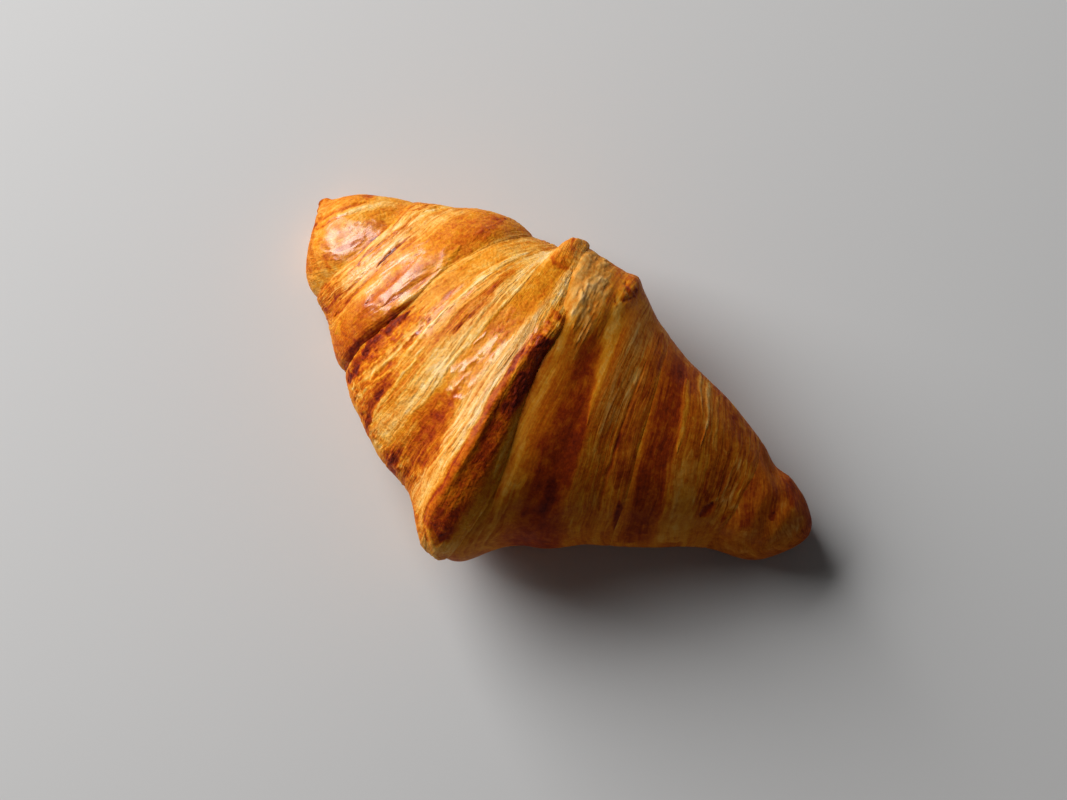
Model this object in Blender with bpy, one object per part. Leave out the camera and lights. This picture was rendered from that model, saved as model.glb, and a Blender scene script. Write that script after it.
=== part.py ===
"""A butter croissant, one solid, rolled from a long triangle of laminated dough.

X runs along the roll, Y across it and +Z is up. The origin is on the surface
that the croissant rests on, under the middle of its bounding box.

The skin is a sphere whose rings are the wraps of the roll. Each ring lies along
the roll where the guide lines put it, its section comes from the envelope, and
the relief lifts or sinks it: dough edges overlap like shingles, from the two
tips up to the crown ridge in the middle.
"""

import bmesh
import bpy
import numpy as np

MM = 0.001

# Overall size
HALF_LENGTH = 82.5 * MM
TIP_ROUNDING = 9.0 * MM  # length over which each tip closes

# Cross-section
WIDEST_SHARE = 0.42  # height of the widest line, as a share of the crown's height
UNDERSIDE_DEPTH = 1.30  # the underside's curve, cut off flat at the resting plane
SHOULDER_POWER = 0.94  # 1 is an ellipse, less is squarer

# Resolution of the skin
RINGS = 68
RING_POINTS = 72

# Envelope of the roll, in mm: place along the roll, reach towards +Y, reach
# towards -Y, and height of the crown. The reaches grow fastest on the -Y side,
# which bellies out under the crown ridge.
ENVELOPE = (
    (-82.5, 13.5, -4.0, 19),
    (-73.0, 19.0, 8.5, 26),
    (-60.0, 24.0, 18.0, 33),
    (-44.0, 30.5, 31.5, 43),
    (-28.0, 35.5, 39.5, 51),
    (-14.0, 38.0, 43.0, 55),
    (0.0, 39.5, 56.0, 57),
    (8.0, 36.5, 54.5, 55),
    (16.0, 32.5, 43.5, 52),
    (28.0, 28.0, 33.0, 47),
    (44.0, 25.0, 22.5, 40),
    (60.0, 20.0, 12.0, 31),
    (72.0, 15.5, 7.5, 26),
    (82.5, 14.0, -0.5, 20),
)

# Guide lines of the wraps, in mm along the roll: where each dough edge crosses
# the crown, the +Y side and the -Y side. They fan out from the +Y side.
GUIDES = (
    (-82.5, -82.5, -82.5),
    (-57.0, -52.0, -64.5),
    (-38.0, -23.5, -49.0),
    (-6.5, -12.0, -6.0),
    (1.0, -5.0, 4.0),
    (9.5, 3.0, 17.0),
    (17.5, 10.5, 26.0),
    (32.0, 22.0, 39.0),
    (44.0, 34.0, 50.0),
    (63.0, 60.0, 62.0),
    (82.5, 82.5, 82.5),
)

# Relief of the wraps, in mm: place on the crown, and height over the envelope.
RELIEF = (
    (-82.5, 0.0),
    (-73.0, 0.8),
    (-64.0, -0.8),
    (-54.0, 1.0),
    (-46.0, 1.0),
    (-39.5, -2.6),
    (-34.0, -0.2),
    (-22.0, 0.6),
    (-6.5, 3.2),
    (1.0, -2.6),
    (9.0, -2.0),
    (14.0, 0.2),
    (18.0, 0.5),
    (31.0, -1.3),
    (38.0, 0.5),
    (44.0, 0.5),
    (60.0, -1.2),
    (71.0, 0.6),
    (82.5, 0.0),
)

# The crown ridge stands proud from the -Y side up to a blunt nose
RIDGE_SPAN = (-22.0, 9.0)  # part of the roll, in mm, that the ridge shapes
NOSE_SIDE = (0.30, 0.55)  # shares of the way to the +Y side over which it ends
RIDGE_LEFT = 0.35  # share of the relief that is left beyond the nose

CRUST = (0.72, 0.36, 0.08, 1.0)
CRUST_ROUGHNESS = 0.38


def smoothstep(low, high, value):
    share = np.clip((value - low) / (high - low), 0, 1)
    return share * share * (3 - 2 * share)


def through(rows, column, place):
    """A smooth curve through the rows of a table, in metres, read at place."""
    table = np.array(rows, float) * MM
    x, y = table[:, 0], table[:, column]
    slope = np.gradient(y, x)
    i = np.clip(np.searchsorted(x, place) - 1, 0, len(x) - 2)
    span = x[i + 1] - x[i]
    t = (place - x[i]) / span
    return (
        y[i] * (1 + 2 * t) * (1 - t) ** 2
        + y[i + 1] * t**2 * (3 - 2 * t)
        + span * (slope[i] * t * (1 - t) ** 2 - slope[i + 1] * t**2 * (1 - t))
    )


def place_along(wrap, side):
    """Where a wrap lies along the roll, from the crown (side 0) to +Y or -Y (1, -1)."""
    back = through(GUIDES, 1, wrap)
    front = through(GUIDES, 2, wrap)
    lean, bow = (back - front) / 2, (back + front) / 2 - wrap
    return np.clip(wrap + lean * side + bow * side**2, -HALF_LENGTH, HALF_LENGTH)


def relief(wrap, side):
    """Height of the wraps over the envelope, faded out beyond the ridge's nose."""
    height = through(RELIEF, 1, wrap)
    start, end = (edge * MM for edge in RIDGE_SPAN)
    ridge = smoothstep(start, start / 2, wrap) * smoothstep(end, end / 2, wrap)
    beyond = smoothstep(*NOSE_SIDE, side)
    return height * (1 - (1 - RIDGE_LEFT) * ridge * beyond)


def skin(wrap, around):
    """Points of the skin for a wrap and an angle around it, 0 at +Y and 90 deg on top."""
    side, rise = np.cos(around), np.sin(around)
    x = place_along(wrap, side)
    back, front = through(ENVELOPE, 1, x), through(ENVELOPE, 2, x)
    crown = through(ENVELOPE, 3, x)
    from_tip = np.clip((HALF_LENGTH - np.abs(x)) / TIP_ROUNDING, 0, 1)
    closing = np.sqrt(1 - (1 - from_tip) ** 2)
    lift = relief(wrap, side) * smoothstep(-0.9, -0.2, rise) * closing

    middle, half = (back - front) / 2, (back + front) / 2 * closing
    widest = WIDEST_SHARE * crown
    out = np.sign(side) * np.abs(side) ** SHOULDER_POWER
    up = np.abs(rise) ** SHOULDER_POWER
    over = (crown - widest) * closing + lift
    under = -UNDERSIDE_DEPTH * widest * closing
    y = middle + (half + lift) * out
    z = widest + np.where(rise > 0, over, under) * up
    return np.stack([x, y, np.maximum(z, 0)], axis=-1)


def ring_wraps():
    """The wrap coordinate of each ring, even along the roll and closer at the tips."""
    share = np.linspace(-1, 1, RINGS + 1)
    even, round_ends = share, np.sin(share * np.pi / 2)
    return HALF_LENGTH * (0.8 * even + 0.2 * round_ends)


def croissant_mesh():
    """A sphere lying along X, with each vertex moved to its place on the skin."""
    bm = bmesh.new()
    bmesh.ops.create_uvsphere(bm, u_segments=RING_POINTS, v_segments=RINGS, radius=1)
    balls = np.array([vertex.co for vertex in bm.verts])
    polar = np.arccos(np.clip(balls[:, 2], -1, 1))
    ring = np.rint((1 - polar / np.pi) * RINGS).astype(int)
    around = np.arctan2(balls[:, 1], balls[:, 0])
    places = skin(ring_wraps()[ring], around)
    lowest, highest = places.min(axis=0), places.max(axis=0)
    places[:, :2] -= (lowest + highest)[:2] / 2
    for vertex, place in zip(bm.verts, places):
        vertex.co = place
    mesh = bpy.data.meshes.new("croissant")
    bm.to_mesh(mesh)
    bm.free()
    return mesh


def crust_material():
    material = bpy.data.materials.new("crust")
    material.use_nodes = True
    shader = material.node_tree.nodes["Principled BSDF"]
    shader.inputs["Base Color"].default_value = CRUST
    shader.inputs["Roughness"].default_value = CRUST_ROUGHNESS
    return material


def main():
    for old in list(bpy.data.objects):
        bpy.data.objects.remove(old)
    pastry = bpy.data.collections.new("croissant")
    bpy.context.scene.collection.children.link(pastry)
    croissant = bpy.data.objects.new("croissant", croissant_mesh())
    croissant.data.materials.append(crust_material())
    croissant.data.shade_smooth()
    pastry.objects.link(croissant)


main()
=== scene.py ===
import math

import bpy
import numpy as np
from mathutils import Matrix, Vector


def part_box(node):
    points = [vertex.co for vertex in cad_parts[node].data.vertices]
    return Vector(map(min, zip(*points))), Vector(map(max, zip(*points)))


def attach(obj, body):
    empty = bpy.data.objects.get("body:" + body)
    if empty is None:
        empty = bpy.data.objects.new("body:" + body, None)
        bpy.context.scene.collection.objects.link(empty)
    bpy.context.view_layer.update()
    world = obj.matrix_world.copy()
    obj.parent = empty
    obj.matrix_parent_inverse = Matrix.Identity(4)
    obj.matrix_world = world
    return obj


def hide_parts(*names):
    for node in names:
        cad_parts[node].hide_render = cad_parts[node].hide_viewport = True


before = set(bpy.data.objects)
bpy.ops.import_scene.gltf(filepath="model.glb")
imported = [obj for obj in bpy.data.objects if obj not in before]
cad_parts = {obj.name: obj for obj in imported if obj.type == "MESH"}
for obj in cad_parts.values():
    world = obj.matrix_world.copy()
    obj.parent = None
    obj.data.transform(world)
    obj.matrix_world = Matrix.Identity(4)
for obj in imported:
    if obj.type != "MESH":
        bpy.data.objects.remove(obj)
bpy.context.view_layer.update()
lowCorner, highCorner = (np.array(corner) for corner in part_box("croissant"))

mm = 0.001  # the croissant is worked out in millimetres and its meshes are in metres


# shape of the roll

roll = {
    "halfLength": 82.5,
    "tipRounding": 9.0,
    "widestShare": 0.42,
    "undersideDepth": 1.3,
    "squareness": 0.94,
    "slopeSteps": (0.3, 1),  # millimetres along it and degrees around it, over which its slopes are taken
    "middle": (-0.26, -7.84, 0),  # what lies under the middle of the finished croissant
    # place along the roll, reach towards +Y, reach towards -Y, height of the crown
    "stations": [
        (-82.5, 13.5, -4.0, 19), (-73, 19, 8.5, 26), (-60, 24, 18, 33), (-44, 30.5, 31.5, 43),
        (-28, 35.5, 39.5, 51), (-14, 38, 43, 55), (0, 39.5, 56, 57), (8, 36.5, 54.5, 55),
        (16, 32.5, 43.5, 52), (28, 28, 33, 47), (44, 25, 22.5, 40), (60, 20, 12, 31),
        (72, 15.5, 7.5, 26), (82.5, 14, -0.5, 20),
    ],
    # where each wrap crosses the crown, the +Y side and the -Y side
    "guides": [
        (-82.5, -82.5, -82.5), (-57, -52, -64.5), (-38, -23.5, -49), (-6.5, -12, -6),
        (1, -5, 4), (9.5, 3, 17), (17.5, 10.5, 26), (32, 22, 39), (44, 34, 50),
        (63, 60, 62), (82.5, 82.5, 82.5),
    ],
}


def smooth(low, high, value):
    # 0 below low, 1 above high, an S-shaped cubic in between
    share = np.clip((value - low) / (high - low), 0, 1)
    return share * share * (3 - 2 * share)


def through(points, column, place):
    # smooth curve through a few points: a cubic on each span, its end slopes taken from the neighbours
    table = np.array(points, float)
    x, y = table[:, 0], table[:, column]
    slope = np.gradient(y, x)
    i = np.clip(np.searchsorted(x, place) - 1, 0, len(x) - 2)
    span = x[i + 1] - x[i]
    t = np.clip((place - x[i]) / span, 0, 1)
    return (
        y[i] * (1 + 2 * t) * (1 - t) ** 2
        + y[i + 1] * t**2 * (3 - 2 * t)
        + span * (slope[i] * t * (1 - t) ** 2 - slope[i + 1] * t**2 * (1 - t))
    )


def around(points, turn):
    # a value that changes around the roll, from (degrees, value) points, closed smoothly underneath
    points = [tuple(map(float, point)) for point in points]
    first, last = points[0], points[-1]
    closed = [(last[0] - 360, last[1])] + points + [(first[0] + 360, first[1])]
    return through(closed, 1, turn)


def rollPlace(wrap, turn):
    # point of the bare roll for a wrap and a turn around it: 0 degrees at +Y, 90 on top, 180 at -Y
    side, rise = np.cos(np.radians(turn)), np.sin(np.radians(turn))
    back, front = through(roll["guides"], 1, wrap), through(roll["guides"], 2, wrap)
    x = wrap + (back - front) / 2 * side + ((back + front) / 2 - wrap) * side**2
    half = roll["halfLength"]
    x = np.clip(x, -half, half)
    back, front, crown = (through(roll["stations"], k, x) for k in (1, 2, 3))
    fromTip = np.clip((half - np.abs(x)) / roll["tipRounding"], 0, 1)
    closing = np.sqrt(1 - (1 - fromTip) ** 2)
    widest = roll["widestShare"] * crown
    out = np.sign(side) * np.abs(side) ** roll["squareness"]
    up = np.abs(rise) ** roll["squareness"]
    y = (back - front) / 2 + (back + front) / 2 * closing * out
    z = widest + np.where(rise > 0, crown - widest, -roll["undersideDepth"] * widest) * closing * up
    return np.stack([x, y, z], axis=-1)


def rollNormal(wrap, turn):
    # outward direction of the bare roll, from its slopes along the wraps and around them
    wrapStep, turnStep = roll["slopeSteps"]
    along = rollPlace(wrap + wrapStep, turn) - rollPlace(wrap - wrapStep, turn)
    across = rollPlace(wrap, turn + turnStep) - rollPlace(wrap, turn - turnStep)
    normal = np.cross(across, along)
    axis = rollPlace(wrap, turn) - rollPlace(wrap, turn + 180)
    normal *= np.sign((normal * axis).sum(-1, keepdims=True))
    return normal / (np.linalg.norm(normal, axis=-1, keepdims=True) + 1e-9)


# noise

noiseHeights = np.random.default_rng(7).random(8192) * 2 - 1
noiseKeys = {"seed": 2654435761, "axes": (73856093, 19349663, 83492791), "last": 2246822519}
octaveShift = 17.3  # keeps a finer octave's lattice off the coarser one's
ringRadius = 34.0  # in millimetres, of the ring around which streaks are laid
ringCentre = 5


def softNoise(x, y, z, seed):
    # random heights on a cubic lattice, joined by smooth steps, from -1 to 1
    cell = [np.floor(v).astype(np.int64) for v in (x, y, z)]
    part = [v - c for v, c in zip((x, y, z), cell)]
    part = [t * t * t * (t * (t * 6 - 15) + 10) for t in part]
    total = 0
    for corner in range(8):
        key, weight = seed * noiseKeys["seed"], 1.0
        for axis, prime in enumerate(noiseKeys["axes"]):
            step = corner >> axis & 1
            key = key ^ ((cell[axis] + step) * prime)
            weight = weight * (part[axis] if step else 1 - part[axis])
        key = (key ^ (key >> 15)) * noiseKeys["last"]
        total = total + noiseHeights[(key >> 7) & (len(noiseHeights) - 1)] * weight
    return total


def lumps(places, size, seed, octaves):
    # soft noise in space with bumps of about the given size, finer ones added at half strength
    total, strength = 0, 1.0
    for octave in range(octaves):
        p = places / size * 2**octave + octaveShift * octave
        total = total + strength * softNoise(p[..., 0], p[..., 1], p[..., 2], seed + octave)
        strength *= 0.5
    return total / (2 - 0.5 ** (octaves - 1))


def streaks(strata, turn, wide, long, seed):
    # noise drawn out along the dough's layers: wide across them, long around the roll
    ring = ringRadius / long
    c, s = np.cos(np.radians(turn)) * ring, np.sin(np.radians(turn)) * ring
    return softNoise(strata / wide, c + ringCentre, s + ringCentre, seed)


# layers and marks on a wrap

degree = 0.66  # millimetres of skin to one degree of turn
slantPivot = 100  # degrees: where a slanted layer keeps its place

# how the strokes wander, each as an amount and then its noise's sizes and seed
brush = {
    "edge": 0.75,  # softness of a stroke's edge, as a share of its half width
    "tailShare": 0.5,  # of its last stretch, by which a stroke runs on
    "tailLength": 4,  # and the most that this may be
    "tailWidth": 0.15,
    "fray": [(3.5, 1.1, 50, 90), (5, 3.5, 25, 91)],
    "bend": [(0.45, 3.5, 92, 2), (0.7, 12, 93, 1)],
    "blotches": (0.55, 2.6, 94, 3),
}

# the thin dough edges, in millimetres where they aren't shares
doughEdge = {
    "gaps": (0.45, 1.6),  # of the wrap's usual gap
    "strengths": (0.35, 1.0),  # from the faintest edge to the plainest
    "first": 0.5,  # how far in the first edge is
    "slantReach": 80,  # degrees of turn that a slanted edge may run
    # how an edge wanders and where it shows: a shift from one edge's wave to the next, and its length
    "longWave": (3.7, 22),
    "shortWave": (5.1, 5),
    "shortWaveShare": 0.25,
    "run": (2.3, 30),
    "runSeeds": 50,
    "fade": (-0.45, 0.35),  # levels of that wave between which an edge comes out
    "step": (-0.10, 0.14),  # where an edge rises
    "wear": 0.9,  # of its layer's width
    "rim": (0.12, 0.16),  # middle and width of the pale rim
    "shade": (-0.2, 0.2),  # and of the shade in front of it
    "strongest": 1.2,
}


def stroke(*path, **effects):
    # a brush stroke on a wrap: (degrees, wrap, half width) points, and what it adds
    return {"path": path, **effects}


def tail(inner, end):
    # a point past the end of a stroke, where it has almost run out: on by a share of its last stretch
    turn, wrap = end[0] - inner[0], end[1] - inner[1]
    share = min(brush["tailShare"], brush["tailLength"] / (math.hypot(turn * degree, wrap) + 0.01))
    return end[0] + turn * share, end[1] + wrap * share, end[2] * brush["tailWidth"]


def strokeMask(wrap, turn, path, edge):
    # 1 inside the stroke, 0 outside: distance to its line, as a share of its half width there
    nearest = np.full(wrap.shape, np.inf)
    points = [tail(path[1], path[0]), *path, tail(path[-2], path[-1])]
    for (turn0, wrap0, wide0), (turn1, wrap1, wide1) in zip(points, points[1:]):
        up, along = (turn1 - turn0) * degree, wrap1 - wrap0
        t = ((turn - turn0) * degree * up + (wrap - wrap0) * along) / (up * up + along * along + 1e-6)
        t = np.clip(t, 0, 1)
        away = np.hypot((turn - turn0) * degree - t * up, wrap - wrap0 - t * along)
        nearest = np.minimum(nearest, away / (wide0 + t * (wide1 - wide0)))
    return smooth(1 + edge, 1 - edge, nearest)


def paintWrap(wrap, turn, strata, places, spec):
    # adds up the strokes: each one is blotchy, and its ends fray a little along the layers
    base = {"rise": 0, "rough": 0, "wrinkle": 0, **spec["base"]}
    fields = {key: np.full(wrap.shape, float(value)) for key, value in base.items()}
    fray = sum(amount * streaks(strata, turn, *sizes) for amount, *sizes in brush["fray"])
    bent = wrap + sum(amount * lumps(places, *sizes) for amount, *sizes in brush["bend"])
    amount, *sizes = brush["blotches"]
    blotches = 1 + amount * lumps(places, *sizes)
    for item in spec["strokes"]:
        frayed = turn + item.get("fray", 1) * fray
        mask = strokeMask(bent, frayed, item["path"], item.get("edge", brush["edge"])) * blotches
        for key in fields:
            if key in item:
                fields[key] += item[key] * mask
    return fields


def plyEdges(strata, turn, plies):
    # thin dough edges that overlap: each one steps up sharply and wears off over its layer's width
    rng = np.random.default_rng(plies["seed"])
    rise, rim, shade = (np.zeros_like(strata) for _ in range(3))
    reach = abs(plies["slant"]) * doughEdge["slantReach"]
    place, last = strata.min() + doughEdge["first"] - reach, strata.max() + reach
    count = 0

    def wave(shift, length, seed):
        # streaks along one edge, on a line of the noise that no other edge uses
        return streaks(np.full_like(strata, count * shift), turn, 1, length, seed)

    def bell(middle, width):
        # 1 at the middle, and down to exp(-1) a width away on either side
        return np.exp(-((inside - middle) / width) ** 2)

    while place < last:
        gap = plies["gap"] * rng.uniform(*doughEdge["gaps"])
        strength = rng.uniform(*doughEdge["strengths"]) * min(1, gap / plies["gap"])
        lean = rng.normal(0, plies["lean"])
        wander = wave(*doughEdge["longWave"], count)
        wander = wander + doughEdge["shortWaveShare"] * wave(*doughEdge["shortWave"], count)
        shown = wave(*doughEdge["run"], count + doughEdge["runSeeds"])
        shown = smooth(*doughEdge["fade"], shown + plies["shown"]) * strength
        line = place + plies["wander"] * wander + (plies["slant"] + lean) * (turn - slantPivot)
        inside = plies["facing"] * (strata - line)
        worn = np.exp(-np.maximum(inside, 0) / (gap * doughEdge["wear"]))
        rise += shown * smooth(*doughEdge["step"], inside) * worn
        rim += shown * bell(*doughEdge["rim"])
        shade += shown * bell(*doughEdge["shade"])
        place += gap
        count += 1
    return rise, np.clip(rim, 0, doughEdge["strongest"]), np.clip(shade, 0, doughEdge["strongest"])


# meshes


def profileRows(points, rows):
    # a smooth profile through the points of each turn: rows of the grid, shared out span by span
    points = np.array(points)
    ends = [2 * points[:1] - points[1:2], points, 2 * points[-1:] - points[-2:-1]]
    padded = np.concatenate(ends)
    span = np.concatenate([np.full(n, k) for k, n in enumerate(rows)] + [[len(rows) - 1]])
    t = np.concatenate([np.arange(n) / n for n in rows] + [[1.0]])[:, None, None]
    a, b, c, d = (padded[span + k] for k in range(4))
    bend = (2 * a - 5 * b + 4 * c - d) * t**2 + (3 * b - a - 3 * c + d) * t**3
    return 0.5 * (2 * b + (c - a) * t + bend)


def gridNormals(places):
    # unit normals of a grid that closes around its second direction
    down = np.gradient(places, axis=0)
    across = np.roll(places, -1, axis=1) - np.roll(places, 1, axis=1)
    normal = np.cross(across, down)
    return normal / (np.linalg.norm(normal, axis=-1, keepdims=True) + 1e-9)


def stacked(*corners):
    # the corners of every face, side by side on a last-but-one axis
    return np.stack([np.stack(np.broadcast_arrays(*corner), -1) for corner in corners], -2)


def closedMesh(name, places, fields):
    # a tube of grid rows with a point at either end; quads along it, triangles at its two points
    rows, columns = places.shape[:2]

    def withPoles(values):
        # a grid's values row by row, then the mean of its first row and of its last
        values = values.reshape(rows, columns, -1)
        poles = [values[0].mean(0), values[-1].mean(0)]
        return np.concatenate([values.reshape(rows * columns, -1), poles])

    i, j = np.meshgrid(np.arange(rows - 1), np.arange(columns), indexing="ij")
    right = (j + 1) % columns
    below, above = i * columns, (i + 1) * columns
    quads = np.stack([below + j, below + right, above + right, above + j], -1)
    j, right = j[0], right[0]
    first, last = rows * columns, rows * columns + 1
    start = np.stack([right, j, np.full(columns, first)], -1)
    end = np.stack([first - columns + j, first - columns + right, np.full(columns, last)], -1)
    # the bake's map: rows across it and turns up it
    low, high = 0.004, 0.996
    up = np.arange(columns + 1) / columns
    middle = (up[:-1] + up[1:]) / 2
    u, v = np.meshgrid(np.linspace(low, high, rows), up, indexing="ij")
    uvQuads = stacked((u[:-1, :-1], v[:-1, :-1]), (u[:-1, :-1], v[:-1, 1:]),
                      (u[1:, 1:], v[1:, 1:]), (u[1:, 1:], v[1:, :-1]))
    uvStart = stacked((low, up[1:]), (low, up[:-1]), (0, middle))
    uvEnd = stacked((high, up[:-1]), (high, up[1:]), (1, middle))
    corners = withPoles(places) * mm
    loops = np.concatenate([quads.reshape(-1), start.reshape(-1), end.reshape(-1)])
    uvs = np.concatenate([uvQuads.reshape(-1), uvStart.reshape(-1), uvEnd.reshape(-1)])
    sizes = np.concatenate([np.full((rows - 1) * columns, 4), np.full(2 * columns, 3)])
    mesh = bpy.data.meshes.new(name)
    mesh.vertices.add(len(corners))
    mesh.vertices.foreach_set("co", corners.astype(np.float32).ravel())
    mesh.loops.add(len(loops))
    mesh.loops.foreach_set("vertex_index", loops.astype(np.int32))
    mesh.polygons.add(len(sizes))
    mesh.polygons.foreach_set("loop_start", (np.cumsum(sizes) - sizes).astype(np.int32))
    mesh.polygons.foreach_set("loop_total", sizes.astype(np.int32))
    mesh.update(calc_edges=True)
    mesh.validate()
    uvMap = mesh.uv_layers.new(name="OFBake")
    uvMap.uv.foreach_set("vector", uvs.astype(np.float32))
    for key, values in fields.items():
        values = withPoles(values)
        kind, slot = ("FLOAT", "value") if values.shape[1] == 1 else ("FLOAT_VECTOR", "vector")
        layer = mesh.attributes.new(key, kind, "POINT")
        layer.data.foreach_set(slot, values.astype(np.float32).ravel())
    mesh.shade_smooth()
    obj = bpy.data.objects.new(name, mesh)
    bpy.context.scene.collection.objects.link(obj)
    return obj


grid = {
    "columns": 330,
    "crowding": 26,  # degrees by which columns move up from the flat underside
    "wander": 0.55,  # how far the wraps' edges wander, in millimetres
    "wanderLength": 16,
    "steady": 81,  # wraps nearer than this to a tip don't wander
    "steadyFade": 6,
}


def turnColumns():
    # turns of the grid's columns, closer together on the upper side than on the flat underside
    share = (np.arange(grid["columns"]) + 0.5) / grid["columns"]
    return -90 + 360 * share + grid["crowding"] * np.sin(2 * np.pi * share)


def wrapGrid(spec):
    # carries the wrap's profile around the roll, and gives its places, wraps, turns and strata
    turn = turnColumns()

    def carried(value):
        # the value at every turn, whether or not it changes around the roll
        return around(value, turn) if isinstance(value, list) else np.full_like(turn, value)

    points = [np.stack([carried(wrap), carried(height)], -1) for wrap, height in spec["profile"]]
    rows = profileRows(points, spec["rows"])
    turn = np.broadcast_to(turn, rows.shape[:2])
    wander = streaks(np.zeros_like(turn), turn, 1, grid["wanderLength"], spec["plies"]["seed"])
    loose = smooth(0, grid["steadyFade"], grid["steady"] - np.abs(rows[..., 0]))
    wrap = rows[..., 0] + grid["wander"] * wander * loose
    places = rollPlace(wrap, turn) + rollNormal(wrap, turn) * rows[..., 1:]
    # strata: distance along the profile, which is the wrap itself half way along it
    step = np.linalg.norm(np.diff(rows, axis=0), axis=-1)
    strata = np.concatenate([np.zeros((1, step.shape[1])), np.cumsum(step, axis=0)])
    ends = np.cumsum(spec["rows"])
    anchor = int(ends[np.argmax(ends > ends[-1] / 2)])
    strata = strata - strata[anchor] + wrap[anchor].mean()
    return places, wrap, turn, strata


# the wraps, from the left tip to the right one

# A wrap's profile is a line of (wrap, height over the bare roll) points that runs from inside the
# roll, over the skin and back inside. Either number may be a list of (degrees, value) points.

leftTip = {
    "profile": [(-82.5, 0), (-82.2, [(-90, 0), (8, 0.1), (36, 0.7), (62, 0.4), (100, 0), (180, 0)]),
                (-81, [(-90, 0), (8, 0.2), (36, 1.7), (62, 1), (100, 0), (180, 0)]),
                (-78.5, [(-90, 0.2), (8, 0.3), (36, 0.9), (62, 0.5), (100, 0.2), (180, 0.2)]), (-73, 0.8),
                (-67, [(-90, 0.4), (0, 0.9), (25, 1), (50, 0.5), (180, 0.4)]),
                (-63.5, [(-90, -0.7), (0, 0.6), (25, 0.7), (55, -0.5), (70, -0.7), (180, -0.7)]),
                (-61.5, [(-90, -1.4), (0, 0), (25, 0.1), (55, -1.2), (70, -1.4), (180, -1.4)]),
                (-60, -3), (-58, -9)],
    "rows": [4, 8, 18, 42, 46, 28, 16, 8, 6],
    "plies": {"seed": 3, "gap": 1.9, "slant": -0.1, "lean": 0.01, "wander": 0.8, "shown": 0, "facing": 1},
    "vary": 1,
    "crisp": 1,
    "base": {"bake": 0.4, "dry": 0.08, "calm": 0.75, "shine": 0.3},
}
leftTip["strokes"] = [
    # painted sheen: the tip's very end made paler and pinkish all round, where light grazes it
    stroke((10, -81, 3), (170, -81, 3), bake=0.08, dry=0.3),
    stroke((33, -81.2, 0.9), (39, -81.5, 0.8), rise=0.8, bake=0.24),
    stroke((48, -72, 0.7), (75, -76.5, 0.8), (100, -79.5, 0.7), bake=0.16, rise=-0.3),
    stroke((58, -70.5, 0.4), (90, -75, 0.5), (112, -77, 0.4), bake=0.12, rise=-0.18),
    stroke((35, -66.5, 1.3), (55, -70.5, 1.2), (72, -73.5, 0.7), bake=-0.16, dry=0.15, calm=-0.3),
    stroke((112, -78.4, 0.5), (136, -79.8, 0.6), bake=0.25, rise=-0.2),
    stroke((118, -75.5, 0.4), (140, -77.2, 0.5), bake=0.1, rise=-0.12),
    stroke((118, -68, 1.2), (122, -65, 1.5), bake=0.12),
    stroke((130, -76, 5), (165, -74, 6), bake=0.15, dry=0.42),
    stroke((22, -72, 1.5), (34, -71.5, 1.2), bake=0.22),
    stroke((123, -62.4, 0.5), (130, -62, 0.6), bake=0.5, rise=-0.3),
    stroke((145, -62.9, 0.7), (153, -62.4, 0.8), bake=0.3),
    stroke((75, -62.8, 0.4), (90, -62.7, 0.4), bake=0.3),
    stroke((62, -65, 2.6), (78, -66, 3.6), (98, -67.5, 4.6), (110, -68, 3.6),
           calm=0.1, bake=0.08, dry=-0.05, shine=0.85, edge=0.6),
    stroke((74, -73, 0.7), (95, -74.2, 0.7), shine=0.6, rise=0.15),
    stroke((66, -79.5, 1), (84, -80.5, 1.2), shine=0.5),
]

leftShoulder = {
    "profile": [(-56, -12), (-60, -5), (-62.2, -2.2),
                (-62.6, [(-90, -1.2), (0, -0.2), (25, -0.1), (55, -1.1), (180, -1.2)]),
                (-61.8, [(-90, -0.35), (0, 0.6), (25, 0.7), (55, -0.2), (180, -0.35)]),
                (-59, [(-90, 0.3), (0, 0.6), (25, 1), (60, 0.3), (120, 0.3), (160, -0.4), (180, -0.6)]),
                (-54, [(-90, 0.7), (0, 0.8), (25, 0.8), (60, 0.7), (120, 0.7), (160, -0.2), (180, -0.5)]),
                (-50, [(-90, 1), (60, 1.3), (120, 1.3), (160, 0.2), (180, -0.1)]),
                (-46, [(-90, 1.2), (0, 0.8), (20, 0.7), (45, 1.4), (60, 1.6), (120, 1.6), (160, 0.4),
                       (180, 0.1)]),
                (-43, [(-90, 0.4), (0, -0.4), (20, -0.6), (42, 0.6), (60, 0.8), (82, 1), (98, 1.2),
                       (120, 1.2), (160, 0.3), (180, 0.1)]),
                (-41, [(-90, -0.4), (0, -1.8), (20, -2.1), (42, -0.9), (60, -0.1), (82, 0.1), (98, 0.6),
                       (120, 0.6), (160, -0.3), (180, -0.5)]),
                (-40, [(-90, -1.2), (0, -3.4), (20, -3.7), (42, -2), (60, -0.9), (85, -0.6), (98, -0.3),
                       (120, -0.4), (160, -1.2), (180, -1.3)]),
                (-39.3, [(-90, -2.4), (0, -4.6), (20, -5), (42, -3.2), (60, -1.9), (82, -1.6), (92, -1.4),
                         (100, -1.5), (150, -2.1), (180, -2)]),
                (-37.5, -7), (-34, -14)],
    "rows": [5, 6, 10, 14, 24, 36, 30, 30, 24, 18, 14, 12, 10, 6],
    "plies": {"seed": 5, "gap": 1.3, "slant": -0.02, "lean": 0.012, "wander": 0.8, "shown": 0.2,
              "facing": 1},
    "vary": 1,
    "crisp": 1,
    "base": {"bake": 0.42, "dry": 0.15, "calm": 0.35, "shine": 0.25},
}
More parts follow.
